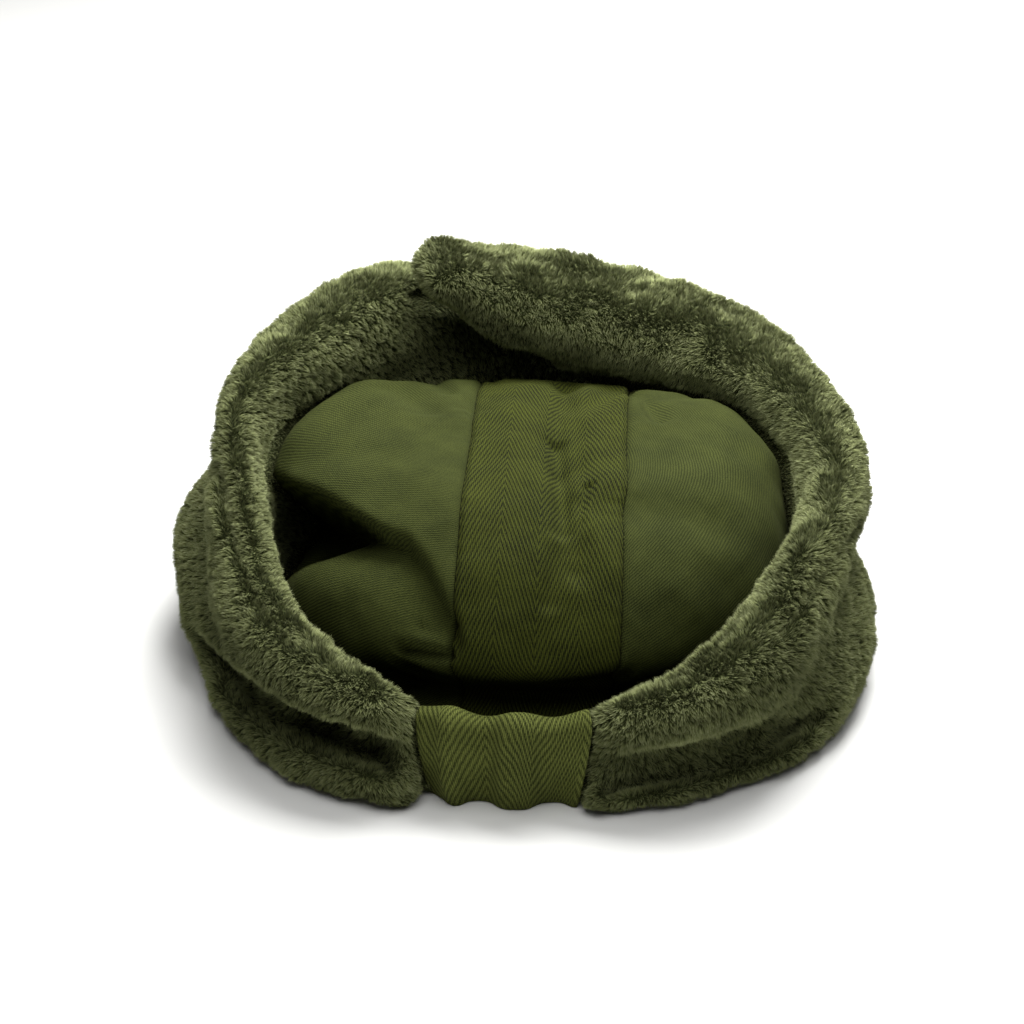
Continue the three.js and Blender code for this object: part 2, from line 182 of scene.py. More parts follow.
def lip_depth(direction, reach):
    """How deep the cloth drops behind the lip: steep on its upper side, gentle on its lower."""
    nearest_away, deep = np.full(reach.shape, 1e9), np.zeros(reach.shape)
    for first, last in zip(fold_lip[:-1], fold_lip[1:]):
        start, end = aimed(*first[:2]), aimed(*last[:2])
        along = np.clip((direction - start) @ (end - start) / ((end - start) @ (end - start)), 0, 1)
        nearest = unit(start + along[..., None] * (end - start))
        away = np.linalg.norm(nearest - direction, axis=-1) * reach
        depth, above, below = (first[k] + (last[k] - first[k]) * along for k in (2, 3, 4))
        upper = (direction - start) @ unit(np.cross(end - start, start)) < 0
        drop = depth * np.exp(-((away / np.where(upper, above, below)) ** 2))
        deep = np.where(away < nearest_away, drop, deep)
        nearest_away = np.minimum(nearest_away, away)
    return deep * smooth_step(direction[..., 2], hem_held, hem_free)


def crown_radius(direction):
    flat = np.hypot(direction[..., 0], direction[..., 1])
    azimuth = np.arctan2(direction[..., 0], -direction[..., 1])
    near, far = np.zeros(flat.shape), np.full(flat.shape, 2 * hem_half_length)
    for _ in range(halvings):
        reach = (near + far) / 2
        inside = reach * flat < crown_reach(azimuth, reach * direction[..., 2])
        near, far = np.where(inside, reach, near), np.where(inside, far, reach)
    return near + fold_depth(direction, near, crown_shoulders) - fold_depth(direction, near, crown_folds)


def creased_radius(direction):
    """The crown with its small folds too, as it is seen."""
    plain = crown_radius(direction)
    before = fold_depth(direction, plain, crown_folds)
    swell = fold_depth(direction, plain, crown_swells, np.add)
    fine = np.maximum(fold_depth(direction, plain, fine_folds), lip_depth(direction, plain))
    broad = fold_depth(direction, plain, crown_folds[3:])
    return plain + before + swell - np.maximum(broad, fine)


def over_top(turn, lean):
    return np.stack([np.sin(lean), -np.cos(lean) * np.cos(turn), np.cos(lean) * np.sin(turn)], -1)


def lean_at(turn, x):
    left, right = np.full(turn.shape, -widest_lean), np.full(turn.shape, widest_lean)
    for _ in range(halvings):
        lean = (left + right) / 2
        short = crown_radius(over_top(turn, lean)) * np.sin(lean) < x
        left, right = np.where(short, lean, left), np.where(short, right, lean)
    return left


def strip_middle(turn):
    return strip_offset + strip_skew * np.cos(turn)


def soft_noise(points, scale, seed):
    """A smooth random height from -1 to 1 at each point, with waves about `scale` mm long."""
    random = np.random.default_rng(seed)
    total, waves = np.zeros(points.shape[:-1]), 24
    for _ in range(waves):
        wave = unit(random.normal(size=3)) * random.uniform(0.7, 1.4) * 2 * np.pi / scale
        total += np.cos(points @ wave + random.uniform(0, 2 * np.pi))
    return total / math.sqrt(waves / 2) / 2


def grid_normals(points):
    across = np.gradient(points, axis=1)
    along = np.gradient(points, axis=0)
    return unit(np.cross(across, along))


def grid_piece(name, points, flat_u, flat_v):
    """A mesh from a grid of points in mm, with the cloth's flat lengths as its UV map. Its faces
    point away from the middle of the cap."""
    rows, columns = points.shape[:2]
    corner = (np.arange(rows - 1)[:, None] * columns + np.arange(columns - 1)).ravel()
    quads = np.stack([corner, corner + 1, corner + columns + 1, corner + columns], -1)
    middle = (rows // 2, columns // 2)
    if grid_normals(points)[middle] @ points[middle] < 0:
        quads = quads[:, ::-1]
    mesh = bpy.data.meshes.new(name)
    mesh.from_pydata((points.reshape(-1, 3) / 1000).tolist(), [], quads.tolist())
    corners = np.zeros(len(mesh.loops), np.int32)
    mesh.loops.foreach_get("vertex_index", corners)
    flat = np.stack([flat_u.ravel()[corners], flat_v.ravel()[corners]], -1)
    mesh.uv_layers.new(name="cloth_mm").data.foreach_set("uv", flat.astype(np.float32).ravel())
    mesh.polygons.foreach_set("use_smooth", [True] * len(mesh.polygons))
    piece = bpy.data.objects.new(name, mesh)
    bpy.context.scene.collection.objects.link(piece)
    return piece


def made_mesh(piece):
    """The piece with its modifiers made part of its mesh."""
    evaluated = piece.evaluated_get(bpy.context.evaluated_depsgraph_get())
    mesh = bpy.data.meshes.new_from_object(evaluated)
    piece.modifiers.clear()
    piece.data = mesh
    return piece


def mesh_points(mesh):
    points = np.zeros(len(mesh.vertices) * 3, np.float32)
    mesh.vertices.foreach_get("co", points)
    return points.reshape(-1, 3).astype(float) * 1000


def keep_above(piece, height):
    """Lifts whatever would go under a height above the floor."""
    points = mesh_points(piece.data)
    points[:, 2] = np.maximum(points[:, 2], height)
    piece.data.vertices.foreach_set("co", (points / 1000).astype(np.float32).ravel())
    piece.data.update()


def give_thickness(piece, thickness):
    wall = piece.modifiers.new("thickness", "SOLIDIFY")
    wall.thickness = thickness / 1000
    wall.offset = -1
    made_mesh(piece)
    keep_above(piece, 0.0)


def path_length(points, axis):
    steps = np.linalg.norm(np.diff(points, axis=axis), axis=-1)
    lengths = np.cumsum(steps, axis=axis)
    return np.concatenate([np.zeros_like(np.take(lengths, [0], axis)), lengths], axis)


def linear(colour):
    """An sRGB hex colour as linear red, green, blue and alpha."""
    values = [int(colour[i:i + 2], 16) / 255 for i in (1, 3, 5)]
    return [v / 12.92 if v <= 0.04045 else ((v + 0.055) / 1.055) ** 2.4 for v in values] + [1.0]


def add_node(tree, kind, *given, **settings):
    """Adds a node with its settings. What is given goes into its sockets in order, and a setting
    in_NAME or in_NUMBER into that socket: a value, a socket, or a node, by its first output."""
    node = tree.nodes.new(kind)
    sockets = list(enumerate(given))
    for key, setting in settings.items():
        if key.startswith("in_"):
            sockets.append((int(key[3:]) if key[3:].isdigit() else key[3:].replace("_", " "), setting))
        else:
            setattr(node, key, setting)
    for key, source in sockets:
        if isinstance(source, bpy.types.Node):
            source = next(output for output in source.outputs if output.enabled)
        if isinstance(source, bpy.types.NodeSocket):
            tree.links.new(source, node.inputs[key])
        elif source is not None:
            node.inputs[key].default_value = source
    return node


def new_material(name):
    material = bpy.data.materials.new(name)
    material.use_nodes = True
    tree = material.node_tree
    tree.nodes.clear()
    return material, tree


def woven_cotton(
    name, colour, shadow_colour, yarn_width, ridge_rise, slope, band, turned, wear, unevenness
):
    """Twill: each column of yarn floats over the crossing ones, a step higher than in the column
    beside it, so that the floats make ridges. Where it has bands, the ridges turn back in each."""
    material, tree = new_material(name)
    math_node, vector_math, noise = "ShaderNodeMath", "ShaderNodeVectorMath", "ShaderNodeTexNoise"
    place = add_node(tree, "ShaderNodeUVMap", uv_map="cloth_mm")
    turn = add_node(tree, "ShaderNodeMapping", place, in_Rotation=(0, 0, turned))
    # The yarn wanders by about its own width.
    wander = add_node(tree, noise, turn, in_Scale=0.35, in_Detail=3.0, in_Roughness=0.7)
    spread = add_node(tree, vector_math, wander.outputs["Color"], (0.5, 0.5, 0.5), operation="SUBTRACT")
    spread = add_node(tree, vector_math, spread, in_Scale=unevenness * yarn_width, operation="SCALE")
    shifted = add_node(tree, vector_math, turn, spread, operation="ADD")
    apart = add_node(tree, "ShaderNodeSeparateXYZ", shifted)
    across, along = apart.outputs[0], apart.outputs[1]
    column = add_node(tree, math_node, across, yarn_width, operation="DIVIDE")
    column = add_node(tree, math_node, column, operation="FLOOR")
    middle = add_node(tree, math_node, column, yarn_width, 0.5 * yarn_width, operation="MULTIPLY_ADD")
    run, turned_back = middle, 0.0
    if band:
        run = add_node(tree, math_node, middle, band, operation="PINGPONG")
        turned_back = add_node(tree, math_node, middle, band, operation="DIVIDE")
        turned_back = add_node(tree, math_node, turned_back, operation="FLOOR")
        turned_back = add_node(tree, math_node, turned_back, 2.0, operation="MODULO")
    climb = add_node(tree, math_node, run, -slope, along, operation="MULTIPLY_ADD")
    climb = add_node(tree, math_node, climb, ridge_rise, operation="DIVIDE")
    step = add_node(tree, math_node, turned_back, 0.5, climb, operation="MULTIPLY_ADD")
    step = add_node(tree, math_node, step, operation="FRACT")
    arch = add_node(tree, math_node, step, math.pi, operation="MULTIPLY")
    arch = add_node(tree, math_node, arch, operation="SINE")
    arch = add_node(tree, math_node, arch, 1.5, operation="POWER")
    beside = add_node(tree, math_node, across, middle, operation="SUBTRACT")
    beside = add_node(tree, math_node, beside, 2.0 / yarn_width, operation="MULTIPLY")
    beside = add_node(tree, math_node, beside, beside, operation="MULTIPLY")
    roundness = add_node(tree, math_node, beside, -0.8, 1.0, operation="MULTIPLY_ADD")
    yarn = add_node(tree, math_node, arch, roundness, operation="MULTIPLY")
    # Hairs worn out of the yarn, and patches faded by wear.
    fuzz = add_node(tree, noise, place, in_Scale=1.7, in_Detail=3.0, in_Roughness=0.75)
    patch = add_node(tree, noise, place, in_Scale=0.06, in_Detail=3.0, in_Roughness=0.55)
    fade = add_node(tree, math_node, patch, wear, -0.5 * wear, operation="MULTIPLY_ADD")
    hairs = add_node(tree, math_node, fuzz, 1.3, -0.58, operation="MULTIPLY_ADD")
    tone = add_node(tree, math_node, yarn, 0.9, hairs, operation="MULTIPLY_ADD")
    tone = add_node(tree, math_node, tone, fade, operation="ADD")
    # Painted shade: the tone runs from the shadow colour between and beside the floats to the colour on
    # their crowns. The fuzz and the faded patches are the cloth's own.
    dye_and_painted_shade = add_node(tree, "ShaderNodeMix", tone, data_type="RGBA", clamp_factor=True)
    dye_and_painted_shade.inputs[6].default_value, dye_and_painted_shade.inputs[7].default_value = linear(shadow_colour), linear(colour)
    # The floats stand up by about a third of the yarn's width.
    relief = add_node(tree, math_node, fuzz, 0.35, yarn, operation="MULTIPLY_ADD")
    height = 0.35 * yarn_width / 1000
    bump = add_node(tree, "ShaderNodeBump", in_Height=relief, in_Strength=0.9, in_Distance=height)
    rough = add_node(tree, math_node, fuzz, 0.12, 0.84, operation="MULTIPLY_ADD")
    skin = add_node(
        tree, "ShaderNodeBsdfPrincipled", in_Base_Color=dye_and_painted_shade.outputs[2], in_Roughness=rough, in_Normal=bump,
        in_IOR=1.53, in_Specular_IOR_Level=0.06, in_Sheen_Weight=0.02, in_Sheen_Roughness=0.45,
        in_Sheen_Tint=linear("#a5ab72"),
    )
    add_node(tree, "ShaderNodeOutputMaterial", skin)
    return material


# Cotton tape in herringbone, woven and piece-dyed: matt, with paler floats, faded in patches by wear,
# and painted shade in the dark between and beside them. The yarn is 0.48 mm wide and the ridges repeat
# every 4.2 mm along it.
herringbone = dict(
    yarn_width=0.48, ridge_rise=4.2, slope=2.9, band=14.25, turned=0.0, wear=0.5, unevenness=1.6,
)
herringbone_cotton = woven_cotton("herringbone_cotton", tape_colour, tape_shadow_colour, **herringbone)


def seam_ditch(distance, along, seed):
    """How far the cloth turns down towards a seam, in mm, with the puckers of its stitches. Past the
    seam its edge is turned under."""
    random = np.random.default_rng(seed)
    unevenly = 1.4 * np.sin(2 * np.pi * along / 23 + random.uniform(0, 6))
    beat = np.sin(2 * np.pi * along / pucker_spacing + unevenly)
    strength = 0.6 + 0.4 * np.sin(2 * np.pi * along / 61 + random.uniform(0, 6))
    turned_down = seam_depth * np.exp(-((distance / seam_width) ** 2))
    turned_down += seam_allowance * (distance < off_seam / 10)
    near_seam = np.exp(-distance / 3.6) * (1 - np.exp(-distance / 0.8))
    pucker = pucker_depth * strength * beat * near_seam
    return turned_down - pucker


def crown_wrinkles(points):
    """Small soft waves of worn cloth that has been folded away."""
    return broad_wrinkle * soft_noise(points, 21, 3) + fine_wrinkle * soft_noise(points, 8, 4)


strip_turns = np.radians(np.linspace(first_turn, last_turn, strip_stations - 2))
strip_turns = np.concatenate([[0.0], strip_turns, [math.pi]])
strip_half = (strip_width - seam_gap) / 2
lean_left = lean_at(strip_turns, strip_middle(strip_turns) - strip_half)
lean_right = lean_at(strip_turns, strip_middle(strip_turns) + strip_half)
share_across = np.linspace(0, 1, strip_columns)
share_across = share_across - edge_crowding * np.sin(2 * np.pi * share_across) / (2 * np.pi)
from_edge = strip_half - np.abs(2 * share_across - 1) * strip_half + off_seam
from_edge = np.concatenate([[0.0], from_edge, [0.0]])
share_across = np.concatenate([[0.0], share_across, [1.0]])
strip_ways = over_top(
    strip_turns[:, None] + 0 * share_across,
    lean_left[:, None] + (lean_right - lean_left)[:, None] * share_across,
)
strip_points = strip_ways * creased_radius(strip_ways)[..., None]
strip_along = np.mean(path_length(strip_points, 0), axis=1, keepdims=True) + 0 * share_across
strip_across = (2 * share_across - 1) * strip_half + 0 * strip_along
from_edge = from_edge + 0 * strip_across
stitched_along = strip_along + 40 * (strip_across > 0)
strip_drop = seam_ditch(from_edge, stitched_along, 11) - crown_wrinkles(strip_points)
strip_points = strip_points - strip_ways * strip_drop[..., None] + crown_place
crown_strip = grid_piece("herringbone_strip", strip_points, strip_across + strip_half, strip_along)
give_thickness(crown_strip, cloth_thickness)
crown_strip.data.materials.append(herringbone_cotton)
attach(crown_strip, "root")
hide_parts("crown_strip")

# Crown panels: the two sides of the crown, each a half round of cotton twill that has slumped. The
# left one has fallen into a deep crease. Their edges turn down into the tape's seams, and their
# lower edges are sewn into the hem.
panel_stations, panel_rows = 150, 84
panel_flat_half_length, panel_flat_height = 112.0, 122.0
with_grain, across_grain = 0.5, 0.87
twill_colour = "#464c22"
twill_shadow_colour = "#1a1f0b"

# Cotton twill, piece-dyed and washed soft: matt, with fine slanting ridges 0.95 mm apart, painted
# shade in the dark between them, and pale fuzz where it is worn.
cotton_twill = woven_cotton(
    "cotton_twill", twill_colour, twill_shadow_colour, yarn_width=0.36, ridge_rise=2.1, slope=1.95,
    band=None, turned=math.radians(115), wear=0.6, unevenness=2.2,
)

panel_half = (strip_width + seam_gap) / 2
panel_turns = np.radians(np.linspace(first_turn, last_turn, panel_stations))
for side, name, node in ((-1, "left_panel", "crown_panel_left"), (1, "right_panel", "crown_panel_right")):
    seam_x = strip_middle(panel_turns) + side * panel_half
    seam_ways = over_top(panel_turns, lean_at(panel_turns, seam_x))
    corner_turns = np.array([0.0, math.pi])
    corner_x = strip_middle(corner_turns) + side * panel_half
    corners = over_top(corner_turns, lean_at(corner_turns, corner_x))
    back, front = np.degrees(np.arctan2(corners[:, 0], -corners[:, 1]))
    hem_ways = aimed(np.linspace(back, front, panel_stations), 0.0)
    rise = np.linspace(0, 1, panel_rows)
    rise = np.append(rise + 0.5 * np.sin(np.pi * rise) ** 2 * (1 - rise) * rise, 1.0)
    ways = unit(hem_ways[:, None] * (1 - rise)[:, None] + seam_ways[:, None] * rise[:, None])
    points = ways * creased_radius(ways)[..., None]
    from_seam = path_length(points[:, ::-1], 1)[:, ::-1]
    from_seam[:, :-1] += off_seam
    along_seam = path_length(points, 0)[:, -1:] + 0 * rise
    drop = seam_ditch(from_seam, along_seam + 17 * side, 12 + side) - crown_wrinkles(points)
    points = points - ways * drop[..., None] + crown_place
    hem_flat = np.linspace(-panel_flat_half_length, panel_flat_half_length, panel_stations)[:, None]
    seam_flat_u = -panel_flat_half_length * np.cos(panel_turns)[:, None]
    seam_flat_v = panel_flat_height * np.sin(panel_turns)[:, None]
    flat_u = hem_flat * (1 - rise) + seam_flat_u * rise
    flat_v = seam_flat_v * rise
    if side > 0:
        # The right side is cut across the grain.
        turned_u = with_grain * flat_u + across_grain * flat_v
        flat_v = with_grain * flat_v - across_grain * flat_u
        flat_u = turned_u
    panel = grid_piece(name, points, flat_u, flat_v)
    give_thickness(panel, cloth_thickness)
    panel.data.materials.append(cotton_twill)
    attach(panel, "root")
    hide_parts(node)

# Back tab: a short band of the same tape, folded over at its top round a flat elastic, which draws
# it up into waves. It stands on the hem between the two flaps.
tab_half_angle, tab_taper, tab_top, tab_depth, tab_wave, tab_waves = 16.0, 0.16, 35.0, 16.0, 2.2, 2.4
tab_wave_start, tab_top_wave, tab_bow, tab_foot_in = 0.62, 1.6, 1.3, 2
tab_stations, tab_bends, tab_outer_rows = 96, 16, 15
flap_seat, leg_gap, fold_gap = 0.5, 0.4, 0.6
leg_shares = np.array([0, 0.2, 0.4, 0.6, 0.8])
gather_depth, dent_depth = 0.5, 0.45

# The same tape as on the crown, given a paler colour on the tab: painted light.
tab_painted_light_colour, tab_painted_light_shadow_colour = "#6b7239", "#22270e"
painted_light_herringbone = woven_cotton(
    "painted_light_herringbone", tab_painted_light_colour, tab_painted_light_shadow_colour, **herringbone,
)


def clear_of_crown(azimuth, height):
    return crown_reach(azimuth, height) - hem_radius(azimuth) + flap_seat


def seam_taper(height):
    return 1 - tab_taper * (1 - np.clip(height / tab_top, 0, 1))


tab_rows, tab_shares = [], np.linspace(-1, 1, tab_stations)
for share in tab_shares:
    azimuth = math.radians(tab_half_angle * share)
    wave = math.cos(math.pi * tab_waves * (share + tab_wave_start))
    depth = tab_depth + tab_wave * wave
    top = tab_top - 2 + tab_top_wave * wave
    shoulder = top - depth / 2
    start = clear_of_crown(azimuth, shoulder) + fold_gap
    half = (depth - start) / 2
    turn = np.linspace(0, np.pi, tab_bends + 1)
    leg_heights = leg_shares * shoulder
    offsets = [clear_of_crown(azimuth, z) + leg_gap for z in leg_heights]
    heights = list(leg_heights)
    offsets += list(start + half - half * np.cos(turn))
    heights += list(top - half + half * np.sin(turn))
    lower = np.linspace(0, 1, tab_outer_rows)[1:]
    bow = 4 * lower * (1 - lower)
    offsets += list(depth * (1 - lower) + (depth - tab_foot_in) * lower + tab_bow * bow)
    heights += list((top - half) * (1 - lower))
    offsets, heights = np.array(offsets), np.array(heights)
    turned = azimuth * seam_taper(heights)
    radius = hem_radius(azimuth) + offsets
    tab_rows.append(np.stack([radius * np.sin(turned), -radius * np.cos(turned), heights], -1))
tab_points = np.array(tab_rows)
tab_along = path_length(tab_points, 1)
tab_across = np.mean(path_length(tab_points, 0), axis=1, keepdims=True)
tab_across = tab_across * 0.9 + 6.5 + 0 * tab_along
# Soft gathers between the waves, strongest over the elastic.
gather = np.sin(tab_across * 2 * np.pi / 15 + 0.9 * np.sin(tab_along / 9))
gather += 0.5 * np.sin(tab_across * 2 * np.pi / 8.3 + 1)
edge_hold = smooth_step(1 - np.abs(tab_shares), 0, 0.12)[:, None]
outer_part = smooth_step(tab_along, 30, 44)
tab_normals = grid_normals(tab_points)
tab_ease = gather_depth * gather + dent_depth * soft_noise(tab_points, 13, 8)
tab_ease = tab_ease * edge_hold * outer_part
facing = np.sign(tab_normals[tab_stations // 2, -3] @ np.array([0, -1, 0]))
tab_points = tab_points + facing * tab_normals * tab_ease[..., None]
tab_points[..., 2] = np.maximum(tab_points[..., 2], 0)
tab_points = tab_points + crown_place
back_tab = grid_piece("tape_tab", tab_points, tab_across, tab_along)
back_tab.data.materials.append(painted_light_herringbone)
give_thickness(back_tab, cloth_thickness)
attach(back_tab, "root")
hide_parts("back_tab")

# Flaps, backing: each flap is pile fabric sewn back to back, folded up round the crown. This is
# the knitted ground that the fibres stand on. It lies a little inside their tips, in soft tufts,
# and shows only as the shade between them.
pile_length, pile_inset, ground_mesh_size = 2.5, 1.3, 2.1
small_tuft, broad_tuft = 0.55, 0.7
# The pile is crushed where something is this close to it, and free where it is this far.
crushed_room, free_room, farthest_room = 1.5, 10.0, 30.0
# The foot is sewn on below these heights, where the crown is this close.
sewn_below, sewn_clear, sewn_room = 4, 9, 4.0
# How far the far side's top hangs in over the crown, between which heights it starts to, and how
# far round. Then where each flap's tip is, from the tab round, and how far it is lifted.
top_overhang, overhang_heights, overhang_turns = 6.0, (60, 84), (92, 122)
tip_turns = {"left": (146, 156), "right": (192, 206)}
tip_lift = {"left": -4.0, "right": 6.5}
tip_heights = 70, 98
ground_floor_gap = 0.6

# The nap: how much it leans outwards and then in over the crown, down, towards the tab, and any way.
nap_outwards, nap_inwards, nap_down, nap_to_tab, nap_strength = 0.6, 0.5, 0.35, 1.2, 0.75
nap_swirl, nap_inner_swirl = 0.3, 0.15
# How much it parts into tufts outside, and inside on each flap.
outer_parting, inner_parting = 0.5, {"left": 0.55, "right": 0.28}

# Creases between the rolls of each flap, as azimuth, offset from the hem and height, with the depth
# and width of each.
flap_creases = {
    "left": [
        ([(-96, 27, 66), (-79, 25, 72), (-64, 21.5, 63), (-47, 21, 54), (-36, 20, 48)], 4, 3.5),
        ([(-74, 42, 16), (-63, 37, 17), (-44, 30, 21), (-27, 24, 20), (-16, 21, 16)], 16, 4.6),
    ],
    "right": [
        ([(86, 33, 58), (75, 34, 63), (59, 31, 61), (47, 29, 54)], 4, 3.5),
        ([(62, 40, 15), (47, 36, 16), (34, 30, 16), (21, 24, 14), (16, 22, 12)], 16, 4.6),
    ],
}


def crease_depth(points, creases):
    deepest = np.zeros(len(points))
    for places, depth, width in creases:
        azimuth, offset, height = np.array(places, float).T
        azimuth = np.radians(azimuth)
        radius = hem_radius(azimuth) + offset
        line = np.stack([radius * np.sin(azimuth), -radius * np.cos(azimuth), height], -1)
        line = line + crown_place
        for k in range(len(line) - 1):
            step = line[k + 1] - line[k]
            along = np.clip((points - line[k]) @ step / (step @ step), 0, 1)
            away = np.linalg.norm(points - line[k] - along[:, None] * step, axis=-1)
            reached = (k + along) / (len(line) - 1)
            fade = smooth_step(reached, 0, 0.15) * smooth_step(1 - reached, 0, 0.15)
            deepest = np.maximum(deepest, depth * fade * np.exp(-((away / width) ** 2)))
    return deepest


def even_skin(node, name):
    """A copy of the flap's solid with an even mesh."""
    piece = bpy.data.objects.new(name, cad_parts[node].data.copy())
    bpy.context.scene.collection.objects.link(piece)
    weld = piece.modifiers.new("merged", "WELD")
    weld.merge_threshold = 0.00001
    skin = piece.modifiers.new("even skin", "REMESH")
    skin.mode = "VOXEL"
    skin.voxel_size = ground_mesh_size / 1000
    return made_mesh(piece)


def mesh_normals(mesh):
    normals = np.zeros(len(mesh.vertices) * 3, np.float32)
    mesh.vertices.foreach_get("normal", normals)
    return normals.reshape(-1, 3).astype(float)


def evened(points, edges, rounds, share=0.5):
    """Points drawn towards the middle of their neighbours."""
    for _ in range(rounds):
        total, count = np.zeros_like(points), np.zeros(len(points))
        for here, there in ((0, 1), (1, 0)):
            np.add.at(total, edges[:, here], points[edges[:, there]])
            np.add.at(count, edges[:, here], 1)
        points = points + share * (total / count[:, None] - points)
    return points


def tree_of(pieces):
    """One search tree over several pieces, in mm."""
    points, faces, start = [], [], 0
    for piece in pieces:
        here = mesh_points(piece.data)
        points += here.tolist()
        faces += [[start + v for v in polygon.vertices] for polygon in piece.data.polygons]
        start += len(here)
    return BVHTree.FromPolygons(points, faces)


# Knitted acrylic ground: the same dye as the pile, but loopy, and painted darker with the shade of the
# fibres over it.
knitted_ground, ground_tree = new_material("knitted_ground")
ground_place = add_node(ground_tree, "ShaderNodeTexCoord").outputs["Object"]
ground_loops = add_node(
    ground_tree, "ShaderNodeTexNoise", ground_place, in_Scale=900.0, in_Detail=3.0, in_Roughness=0.7,
)
ground_dye_and_painted_shade = add_node(ground_tree, "ShaderNodeValToRGB", ground_loops)
for stop, position, colour in zip(ground_dye_and_painted_shade.color_ramp.elements, (0.3, 0.75), ("#242912", "#454b2a")):
    stop.position, stop.color = position, linear(colour)
ground_bump = add_node(
    ground_tree, "ShaderNodeBump", in_Height=ground_loops, in_Strength=0.8, in_Distance=0.0008,
)
ground_skin = add_node(
    ground_tree, "ShaderNodeBsdfPrincipled", ground_dye_and_painted_shade, in_Normal=ground_bump,
    in_Roughness=0.95, in_IOR=1.49, in_Specular_IOR_Level=0.1,
)
add_node(ground_tree, "ShaderNodeOutputMaterial", ground_skin)

panels = [bpy.data.objects["left_panel"], bpy.data.objects["right_panel"]]
crown_around = tree_of([crown_strip, *panels, back_tab])
flap_grounds = {side: even_skin(f"ear_flap_{side}", f"{side}_flap_ground") for side in ("left", "right")}
flap_skins = {side: tree_of([ground]) for side, ground in flap_grounds.items()}
flap_azimuths = {}
ground_fields = {"lean": "FLOAT_VECTOR", "room": "FLOAT", "cover": "FLOAT", "parting": "FLOAT"}
for side, ground in flap_grounds.items():
    other = flap_skins["right" if side == "left" else "left"]
    mesh = ground.data
    edges = np.zeros(len(mesh.edges) * 2, np.int32)
    mesh.edges.foreach_get("vertices", edges)
    edges = edges.reshape(-1, 2)
    points, normals = mesh_points(mesh), mesh_normals(mesh)
    # Room for the pile: how far the crown or the other flap is, straight out from the skin.
    room = np.full(len(points), farthest_room)
    for i, (p, n) in enumerate(zip(points, normals)):
        for around in (crown_around, other):
            hit = around.ray_cast(Vector(p), Vector(n), farthest_room)[3]
            if hit is not None:
                room[i] = min(room[i], hit)
    open_to_view = smooth_step(room, crushed_room, free_room)
    above_floor = smooth_step(points[:, 2], 0.4, 4.0)
    even_normals = unit(evened(normals, edges, 5))
    inset = pile_inset * (0.55 + 0.45 * above_floor)
    places = evened(points, edges, 8) - even_normals * inset[:, None]
    # At its foot the flap is sewn to the hem, so no floor shows between the two.
    sewn = (room < sewn_room) * (1 - smooth_step(points[:, 2], sewn_below, sewn_clear))
    places += even_normals * (sewn * (room + 0.55 * pile_inset - 0.1))[:, None]
    tufts = small_tuft * soft_noise(points, 5.5, 21) + broad_tuft * soft_noise(points, 15, 22)
    places += even_normals * (tufts * open_to_view)[:, None]
    creased = crease_depth(points, flap_creases[side])
    places -= even_normals * creased[:, None]
    from_middle = points - crown_place
    outwards = unit(from_middle * np.array([1, 1, 0]))
    azimuth = np.degrees(np.arctan2(from_middle[:, 0], -from_middle[:, 1]))
    around = (azimuth if side == "right" else -azimuth) % 360
    flap_azimuths[side] = np.where(around > 300, around - 360, around)
    # Round the far side the folded top is broad, and hangs in over the crown.
    inner_half = smooth_step(-np.sum(even_normals * outwards, -1), -0.6, 0.5)
    inner_half *= smooth_step(points[:, 2], *overhang_heights)
    broad_top = smooth_step(flap_azimuths[side], *overhang_turns) * inner_half * open_to_view
    places -= outwards * (top_overhang * broad_top)[:, None]
    # The right flap's tip lies on the left flap, which it presses down.
    at_tip = smooth_step(flap_azimuths[side], *tip_turns[side]) * smooth_step(points[:, 2], *tip_heights)
    places[:, 2] += tip_lift[side] * at_tip
    places[:, 2] = np.maximum(places[:, 2], ground_floor_gap)
    mesh.vertices.foreach_set("co", (places / 1000).astype(np.float32).ravel())
    mesh.update()
    normals = mesh_normals(mesh)
    # The nap turns slowly along the top, from falling outwards to falling in over the crown. Where a
    # flap starts beside the tab, it lies over the tab's edge.
    to_tab = np.stack([-np.cos(np.radians(azimuth)), -np.sin(np.radians(azimuth)), 0 * azimuth], -1)
    to_tab *= (np.sign(azimuth) * (1 - smooth_step(np.abs(azimuth), 17, 24)))[:, None]
    facing_in = -np.sum(normals * outwards, -1)
    over_the_top = nap_outwards - (nap_outwards + nap_inwards) * smooth_step(facing_in, -0.7, 0.9)
    drape = over_the_top[:, None] * outwards + nap_to_tab * to_tab
    drape[:, 2] -= nap_down
    swirl = np.stack([soft_noise(points, 34, seed) for seed in (31, 32, 33)], -1)
    swirled = nap_swirl - nap_inner_swirl * smooth_step(facing_in, 0.1, 0.7)
    drape = nap_strength * drape + swirled[:, None] * swirl
    lean = drape - np.sum(drape * normals, -1, keepdims=True) * normals
    parting = outer_parting + (inner_parting[side] - outer_parting) * smooth_step(facing_in, 0.0, 0.8)
    length_share = (0.35 + 0.65 * open_to_view) * (0.35 + 0.65 * above_floor)
    cover = (0.25 + 0.75 * open_to_view) * smooth_step(points[:, 2], 0.2, 1.5)
    for (key, kind), data in zip(ground_fields.items(), (lean, length_share, cover, parting)):
        field = mesh.attributes.new(key, kind, "POINT")
        held = "vector" if kind == "FLOAT_VECTOR" else "value"
        field.data.foreach_set(held, data.astype(np.float32).ravel())
    mesh.materials.clear()
    mesh.materials.append(knitted_ground)
    mesh.polygons.foreach_set("use_smooth", [True] * len(mesh.polygons))

# Flaps, pile: soft acrylic fibres, knitted into the ground and brushed up. They stand close, lean
# with the nap, and part into small tufts with dark between them. Each is a sliver of its own.
pile_colour, pile_tip_colour, pile_root_colour = "#7b8250", "#a4aa79", "#262b12"
fibres_per_square_metre, fibre_width, tuft_size, tuft_pull = 7150000.0, 0.285, 3.1, 0.85
pile_floor_gap = 0.15
